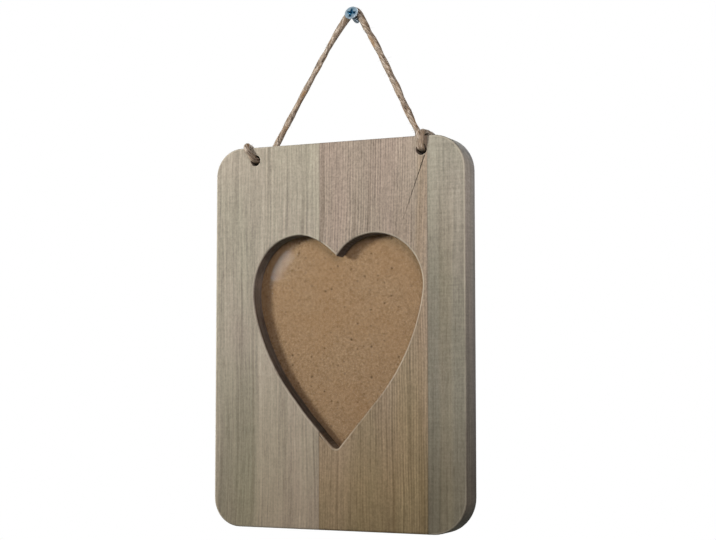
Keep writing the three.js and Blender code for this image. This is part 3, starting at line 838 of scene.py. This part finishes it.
def smooth_line(points, step):
    """Points, in metres, at even steps along a smooth curve through points in millimetres."""
    knots = in_metres(points)
    knots = [2 * knots[0] - knots[1]] + knots + [2 * knots[-1] - knots[-2]]
    dense = []
    for p in zip(knots, knots[1:], knots[2:], knots[3:]):
        t = [0.0]
        for a, b in zip(p, p[1:]):
            t.append(t[-1] + math.sqrt((b - a).length))
        for i in range(CURVE_STEPS):
            u = t[1] + (t[2] - t[1]) * i / CURVE_STEPS
            first = [between(p[j], p[j + 1], t[j], t[j + 1], u) for j in range(3)]
            second = [between(first[j], first[j + 1], t[j], t[j + 2], u) for j in range(2)]
            dense.append(between(second[0], second[1], t[1], t[2], u))
    dense.append(knots[-2])
    return even_steps(dense, step)


def length_of(line):
    return sum((b - a).length for a, b in zip(line, line[1:]))


def even_steps(line, step):
    """A line divided anew into even steps of about this length."""
    count = round(length_of(line) / step)
    step = length_of(line) / count
    points = [line[0]]
    walked = 0.0
    for a, b in zip(line, line[1:]):
        span = (b - a).length
        while len(points) < count and walked + span >= step * len(points):
            points.append(a.lerp(b, (step * len(points) - walked) / span))
        walked += span
    points.append(line[-1])
    return points


def sides_of(line):
    """Two directions across the line at each point, carried along it without turning."""
    pairs = zip(line[:1] + line[:-1], line[1:] + line[-1:])
    along = [(after - before).normalized() for before, after in pairs]
    across = along[0].orthogonal().normalized()
    found = []
    for i, tangent in enumerate(along):
        if i:
            across = along[i - 1].rotation_difference(tangent) @ across
        across = (across - tangent * across.dot(tangent)).normalized()
        found.append((across, tangent.cross(across)))
    return found


def tube(bm, layer, line, radii, marks, sides):
    """A tube round a line. marks gives each ring's place along, turn and shift, which the material reads."""
    rows = []
    for point, (u, v), radius, (along, turn, shift) in zip(line, sides_of(line), radii, marks):
        row = []
        for a in turns(sides):
            vert = bm.verts.new(point + (u * math.cos(a) + v * math.sin(a)) * radius)
            vert[layer] = Vector((math.cos(a + turn) + shift, math.sin(a + turn), along))
            row.append(vert)
        rows.append(row)
    for low, high in zip(rows, rows[1:]):
        for i in range(sides):
            j = (i + 1) % sides
            bm.faces.new((low[i], low[j], high[j], high[i]))
    bm.faces.new(rows[0][::-1])
    bm.faces.new(rows[-1])


def rope(line, girths, pitch, seed):
    """Two strands laid round a line, as one mesh. girths is the twine's diameter at each point."""
    bm = bmesh.new()
    layer = bm.verts.layers.float_vector.new("strand")
    across = sides_of(line)
    step = length_of(line) / (len(line) - 1) / MM
    for k in range(2):
        centres = []
        radii = []
        marks = []
        for i, (point, (u, v)) in enumerate(zip(line, across)):
            along = i * step
            slip = noise.noise(Vector((along * 0.06, k * 3.1, seed + 40)))
            turn = 2 * math.pi * (k / 2 + along / pitch + 0.05 * slip)
            swell = noise.noise(Vector((along * 0.22, k * 7.3, seed)))
            strand = girths[i] * MM * STRAND_SHARE
            offset = girths[i] * MM / 2 - strand
            out = u * math.cos(turn) + v * math.sin(turn)
            centres.append(point + out * offset * (1 + 0.15 * swell))
            radii.append(strand * (1 + 0.09 * swell))
            marks.append((along, along * 0.22, k * 9.0 + seed))
        tube(bm, layer, centres, radii, marks, TWINE_SIDES)
    bmesh.ops.recalc_face_normals(bm, faces=bm.faces[:])
    mesh = mesh_of(bm)
    finish_mesh(mesh, 60)
    return mesh


def girths_along(line):
    """The twine's diameter along its line.

    It is fuller beside the screw, at the left tie, down the right run and in the arch of the right tie, and
    thinner where the right run meets its tie.
    """
    found = []
    for point in line:
        x, z = point.x / MM, point.z / MM
        if x < 0:
            share = 0.96 + 0.52 * hump(x, -6, 3.2) + 0.08 * clamp((-46 - z) / 12)
        else:
            share = 1.12 + 0.08 * hump(x, 7, 3) - 0.12 * max(0.0, 1 - x / 3)
            share -= 0.24 * clamp((-62 - z) / 8)
            if z > -73:
                share += 0.14 * hump(x, 51, 1.5)
        found.append(TWINE_DIAMETER * share)
    near = [found[max(0, i - 6):i + 7] for i in range(len(found))]
    return [sum(run) / len(run) for run in near]


def knot_line(centre, size, step):
    """A pulled-tight overhand knot's loop round its centre, seen from behind."""
    points = []
    for t in turns(60) + [0.0]:
        x = math.sin(t) + 2 * math.sin(2 * t)
        z = math.cos(t) - 2 * math.cos(2 * t)
        y = -1.35 * math.sin(3 * t)
        points.append(Vector(centre) + Vector((x * size, y * size, z * size * 0.85)))
    return even_steps(in_metres(points), step)


def fuzz(lines, count, seed):
    """Loose fibres that stand off the twine."""
    draw = random.Random(seed)
    bm = bmesh.new()
    layer = bm.verts.layers.float_vector.new("strand")
    choices = [(line, sides_of(line)) for line in lines]
    for n in range(count):
        line, across = draw.choice(choices)
        i = draw.randrange(2, len(line) - 2)
        u, v = across[i]
        turn = draw.uniform(0, 2 * math.pi)
        out = u * math.cos(turn) + v * math.sin(turn)
        along = (line[i + 1] - line[i - 1]).normalized() * draw.choice((-1, 1))
        lean = draw.uniform(0.25, 0.75)
        reach = draw.uniform(1.2, 3.6) * MM
        start = line[i] + out * 1.3 * MM
        bend = Vector((draw.uniform(-1, 1), draw.uniform(-1, 1), draw.uniform(-1, 1))) * 0.3
        way = along * (1 - lean) + out * lean
        hair = [start + (way + bend * t) * reach * t for t in FIBRE_PLACES]
        radii = [radius * MM for radius in FIBRE_RADII]
        marks = [(n + t, 0.0, n * 1.7) for t in range(len(hair))]
        tube(bm, layer, hair, radii, marks, 3)
    bmesh.ops.recalc_face_normals(bm, faces=bm.faces[:])
    mesh = mesh_of(bm)
    finish_mesh(mesh, 90)
    return mesh


def make_twine():
    line = smooth_line(LEFT_TAIL + LEFT_HITCH + RUN + RIGHT_HITCH + RIGHT_TAIL, 0.55 * MM)
    mesh = rope(line, girths_along(line), TWINE_PITCH, 0.0)
    twine = piece("twine_rope", mesh, JUTE, "frame", "jute", "hanging_twine", "left_hitch", "right_hitch")
    knots = []
    for name, centre, seed in (("left_knot", LEFT_KNOT, 31.0), ("right_knot", RIGHT_KNOT, 57.0)):
        loop = knot_line(centre, KNOT_SIZE, 0.5 * MM)
        knots.append(loop)
        mesh = rope(loop, [KNOT_DIAMETER] * len(loop), KNOT_PITCH, seed)
        piece(name, mesh, JUTE, "frame", "jute")
    mesh = fuzz([line, line, line] + knots, FIBRES, FIBRE_SEED)
    piece("twine_fibres", mesh, PALE_JUTE, "frame", "jute")


# Looks

GREY_WOOD = wood(
    "Grey pine",
    tone=srgb(171, 164, 147),
    shade=srgb(131, 125, 112),
    tints=[
        (-30, 60, -10, -95, (0.955, 0.91, 0.83)),
        (-62, 16, 90, 60, (0.95, 0.95, 0.95)),
        (-62, 16, 0, -50, (0.83, 0.88, 0.84)),
        (-14, 22, -40, -90, (0.98, 0.96, 0.98)),
        (-40, 60, 75, 100, (1.06, 1.05, 1.05)),
        (-40, 60, 50, -10, (1.02, 0.985, 0.99)),
    ],
    lines=3.4,
    weights=(0.62, 0.4, 0.18, 0.3, 0.42, 0.12),
    shift=(0, 0, 0),
)
PINKISH_WOOD = wood(
    "Pinkish pine",
    tone=srgb(164, 150, 135),
    shade=srgb(127, 116, 104),
    tints=[
        (20, 60, 40, -80, (0.83, 0.76, 0.54)),
        (16, 60, -78, -105, (0.82, 0.82, 0.79)),
        (44, 12, 80, 10, (0.99, 0.97, 0.91)),
        (44, 14, 60, 100, (1.12, 1.14, 1.13)),
        (51, 4, -30, 50, (1.02, 0.98, 0.92)),
        (42, 8, -45, -90, (1.14, 1.19, 1.27)),
        (50, 5, -40, -65, (0.86, 0.87, 0.88)),
        (10, 50, 75, 100, (1.05, 1.04, 1.05)),
        (-6, 20, 10, -70, (1.12, 1.12, 1.2)),
    ],
    lines=1.5,
    weights=(0.6, 0.45, 0.62, 0.16, 0.66, 0.14),
    shift=(310, 40, 90),
)
GREENISH_WOOD = wood(
    "Greenish pine",
    tone=srgb(163, 157, 141),
    shade=srgb(127, 122, 109),
    tints=[
        (65, 30, 70, 12, (0.82, 0.82, 0.815)),
        (65, 30, -30, -80, (0.79, 0.77, 0.71)),
        (65, 30, 40, 100, (1.14, 1.15, 1.17)),
        (64, 5, 90, 30, (1.0, 0.97, 0.92)),
        (56, 8, 105, 60, (0.87, 0.87, 0.86)),
    ],
    lines=2.2,
    weights=(0.5, 0.36, 0.12, 0.36, 0.5, 0.28),
    shift=(620, 80, 170),
)
FIBREBOARD = fibreboard()
GLASS = glass()
BRIGHT_ZINC = zinc("Bright zinc", (160, 176, 187), 0.3)
DULL_ZINC = zinc("Dull zinc", (176, 180, 180), 0.42)
JUTE = jute("Jute", (199, 187, 171))
PALE_JUTE = jute("Loose jute", (214, 200, 180))

make_staves()
make_panes()
for number in range(1, 5):
    make_button(number)
    make_button_screw(number)
make_hanging_screw()
make_twine()

# Camera

CAMERA_PLACE = (361.6, -772.7, -205.6)
CAMERA_TURN = (94.3, 0, 25.015)
CAMERA_LENS = 77.3
camera_data = bpy.data.cameras.new("Camera")
camera_data.lens = CAMERA_LENS
camera_data.sensor_width = 36
camera_data.sensor_fit = "HORIZONTAL"
camera_data.clip_start = 0.01
camera = bpy.data.objects.new("Camera", camera_data)
camera.location = Vector(CAMERA_PLACE) * MM
camera.rotation_euler = [math.radians(a) for a in CAMERA_TURN]
bpy.context.scene.collection.objects.link(camera)
bpy.context.scene.camera = camera

# Floor, lamps and world, in metres

FLOOR_RADIUS = 6
FLOOR_DROP = 0.3  # below the part
WORLD_LEVEL = 0.11


def seen_directly(tree):
    """1 for the rays that show the background: straight to the camera, mirrored or through glass."""
    path = tree.nodes.new("ShaderNodeLightPath")
    total = path.outputs["Is Camera Ray"]
    for name in ("Is Glossy Ray", "Is Transmission Ray"):
        most = tree.nodes.new("ShaderNodeMath")
        most.operation = "MAXIMUM"
        tree.links.new(total, most.inputs[0])
        tree.links.new(path.outputs[name], most.inputs[1])
        total = most.outputs[0]
    return total


def make_floor():
    bm = bmesh.new()
    bmesh.ops.create_circle(bm, cap_ends=True, segments=64, radius=FLOOR_RADIUS)
    mesh = mesh_of(bm)
    floor = bpy.data.objects.new("floor", mesh)
    floor.location.z = CAD_BOX[0].z - FLOOR_DROP
    bpy.context.scene.collection.objects.link(floor)
    m = Material("Pale floor")
    m.set(Base_Color=(0.82, 0.82, 0.82, 1), Roughness=0.9, Specular_IOR_Level=0.0)
    glow = m.node("Emission", {"Color": (1, 1, 1, 1), "Strength": 1.0})
    away = m.node("VectorMath", {0: m.place.outputs["Object"]}, operation="LENGTH").outputs["Value"]
    share = m.math("MULTIPLY", seen_directly(m.tree), m.span(away, 0.5, 1.2, 0.7, 1.0))
    both = m.node("MixShader", {0: share, 1: m.shader.outputs[0], 2: glow.outputs[0]})
    m.tree.links.new(both.outputs[0], m.tree.nodes["Material Output"].inputs["Surface"])
    mesh.materials.append(m.material)


def area_lamp(name, place, aim, power, size, tall=None, spread=180):
    data = bpy.data.lights.new(name, "AREA")
    data.energy = power
    data.size = size
    data.spread = math.radians(spread)
    if tall:
        data.shape = "RECTANGLE"
        data.size_y = tall
    lamp = bpy.data.objects.new(name, data)
    lamp.location = place
    lamp.rotation_euler = (Vector(aim) - Vector(place)).to_track_quat("-Z", "Y").to_euler()
    lamp.visible_camera = False
    bpy.context.scene.collection.objects.link(lamp)
    return lamp


def make_world(level):
    world = bpy.data.worlds.new("Studio")
    world.use_nodes = True
    tree = world.node_tree
    soft = tree.nodes["Background"]
    soft.inputs["Color"].default_value = (level, level, level, 1)
    white = tree.nodes.new("ShaderNodeBackground")
    white.inputs["Color"].default_value = (1, 1, 1, 1)
    both = tree.nodes.new("ShaderNodeMixShader")
    tree.links.new(seen_directly(tree), both.inputs[0])
    tree.links.new(soft.outputs[0], both.inputs[1])
    tree.links.new(white.outputs[0], both.inputs[2])
    tree.links.new(both.outputs[0], tree.nodes["World Output"].inputs["Surface"])
    bpy.context.scene.world = world


make_floor()
key = area_lamp("key", (-0.4, -0.7, -0.017), aim=(-0.03, -0.026, -0.04), power=0.79, size=0.18, spread=66)
key.visible_glossy = False
key.visible_transmission = False
fill = area_lamp("front fill", (0.4, -0.82, 0.1), aim=(0, -0.026, -0.06), power=0.5, size=0.3, spread=66)
fill.data.color = (1.0, 0.9, 0.92)
area_lamp(
    "right fill",
    (0.195, -0.0185, -0.12),
    aim=(0.075, -0.0185, -0.12),
    power=0.05,
    size=0.04,
    tall=0.12,
    spread=160,
)
left_fill = area_lamp(
    "left fill",
    (-0.4, 0.0, -0.2),
    aim=(-0.075, -0.0185, -0.2),
    power=0.2,
    size=0.2,
    spread=60,
)
left_fill.visible_glossy = False
area_lamp("back fill", (-0.1, 0.6, 0.2), aim=(0, 0, -0.15), power=5.5, size=0.6, tall=0.6)
card = area_lamp(
    "reflected card",
    (-0.3225, -0.545, -0.094),
    aim=(-0.04, -0.0167, -0.14),
    power=0.042,
    size=0.012,
    tall=0.036,
)
card.rotation_euler.rotate_axis("Z", math.radians(-32))
card.data.color = (0.74, 0.9, 1.0)
card.visible_diffuse = False
make_world(WORLD_LEVEL)
bpy.context.scene.view_settings.view_transform = "Standard"
